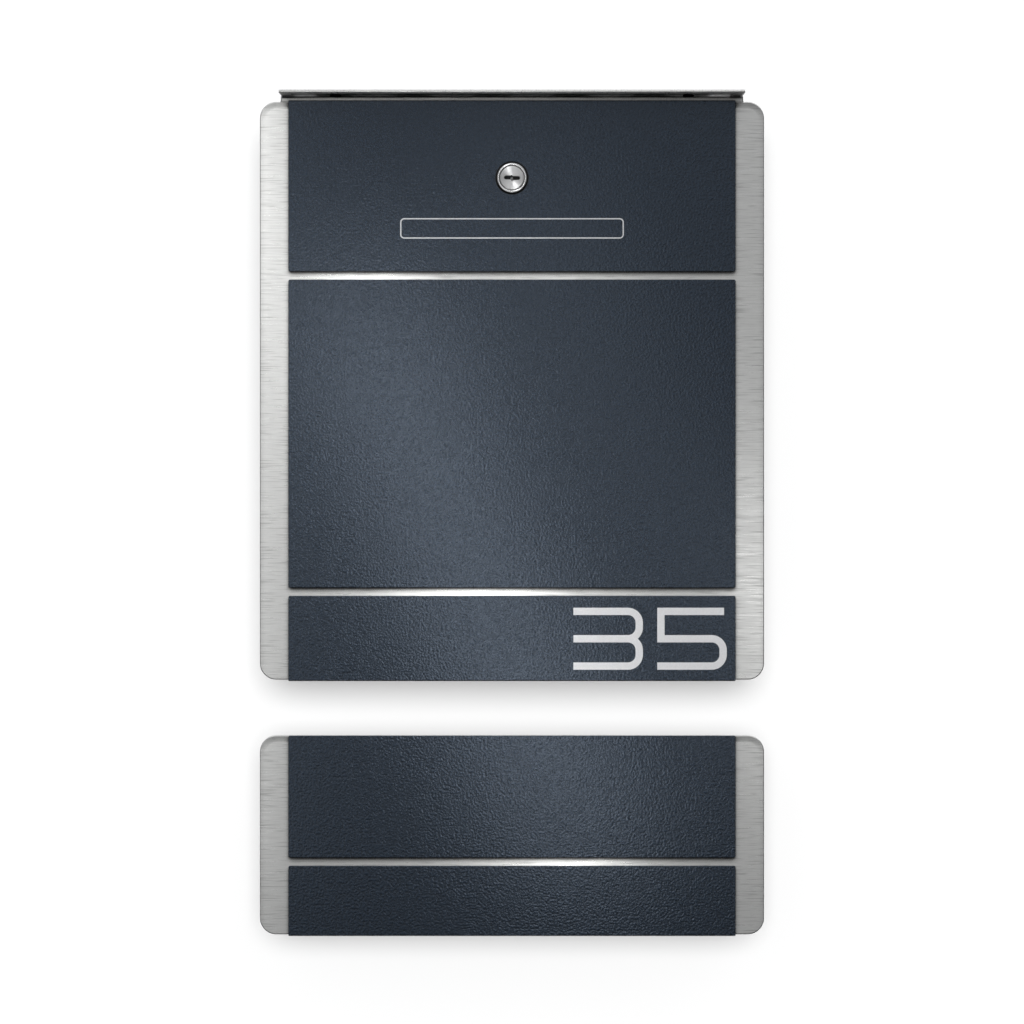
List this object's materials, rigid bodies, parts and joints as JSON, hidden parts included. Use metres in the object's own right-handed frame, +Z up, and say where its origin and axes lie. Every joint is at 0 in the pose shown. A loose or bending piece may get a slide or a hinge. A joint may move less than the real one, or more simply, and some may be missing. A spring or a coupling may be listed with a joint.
{
  "type": "wall mounted mailbox",
  "caption": "Wall mounted steel mailbox with anthracite coated front panels, lid over the letter slot, locking front door, and an open-ended newspaper compartment below.",
  "frame": {"origin": "centre of the mailbox's four wall screw holes, on the wall plane", "axes": "+Z up, the front looks along -Y, the wall is the plane y = 0"},
  "size_m": [0.37, 0.121, 0.6229],
  "materials": {
    "brushed_stainless": "brushed, fine straight grain",
    "casing_steel": "satin sheet steel",
    "anthracite_coat": "fine textured powder coat",
    "lock_chrome": "polished rim, turned face",
    "zinc": "bright zinc plated",
    "rubber": "matt black",
    "foam_tape": "black acrylic foam"
  },
  "bodies": {
    "casing": {"news_plate": "brushed_stainless", "back_panel": "casing_steel", "side_panel_left": "casing_steel", "side_panel_right": "casing_steel", "bottom_tray": "casing_steel", "front_rail": "casing_steel", "top_deck": "casing_steel", "letter_guide": "casing_steel", "news_sleeve": "casing_steel", "news_upper_panel": "anthracite_coat", "news_lower_panel": "anthracite_coat", "casing_rivets": "zinc", "lid_hinge_leaf_fixed": "zinc", "lid_hinge_pin": "zinc", "door_hinge_leaf_fixed": "zinc", "door_hinge_rivets": "zinc", "door_hinge_pin": "zinc", "news_studs": "zinc", "news_nuts": "zinc", "door_seal": "rubber", "lid_bumpers": "rubber", "news_tapes": "foam_tape"},
    "lid": {"lid": "brushed_stainless", "lid_hinge_leaf_moving": "zinc"},
    "door": {"door_plate": "brushed_stainless", "door_pan": "casing_steel", "door_studs": "zinc", "door_nuts": "zinc", "door_stops": "zinc", "top_panel": "anthracite_coat", "middle_panel": "anthracite_coat", "bottom_panel": "anthracite_coat", "door_tapes": "foam_tape", "name_frame": "brushed_stainless", "house_number": "brushed_stainless", "door_hinge_leaf_moving": "zinc", "lock_housing": "lock_chrome", "lock_gasket": "rubber", "lock_nut": "zinc"},
    "lock_cylinder": {"lock_plug": "lock_chrome", "lock_cam": "zinc", "cam_washer": "zinc", "cam_screw": "zinc"}
  },
  "joints": [
    {"name": "lid_hinge", "type": "hinge", "parent": "casing", "child": "lid", "pos_m": [0, -0.0035, 0.2204], "axis": [-1, 0, 0], "range_deg": [0, 80]},
    {"name": "door_hinge", "type": "hinge", "parent": "casing", "child": "door", "pos_m": [0, -0.098, -0.203], "axis": [1, 0, 0], "range_deg": [0, 95]},
    {"name": "lock_turn", "type": "hinge", "parent": "door", "child": "lock_cylinder", "pos_m": [0, -0.1, 0.156], "axis": [0, 1, 0], "range_deg": [0, 90]}
  ]
}
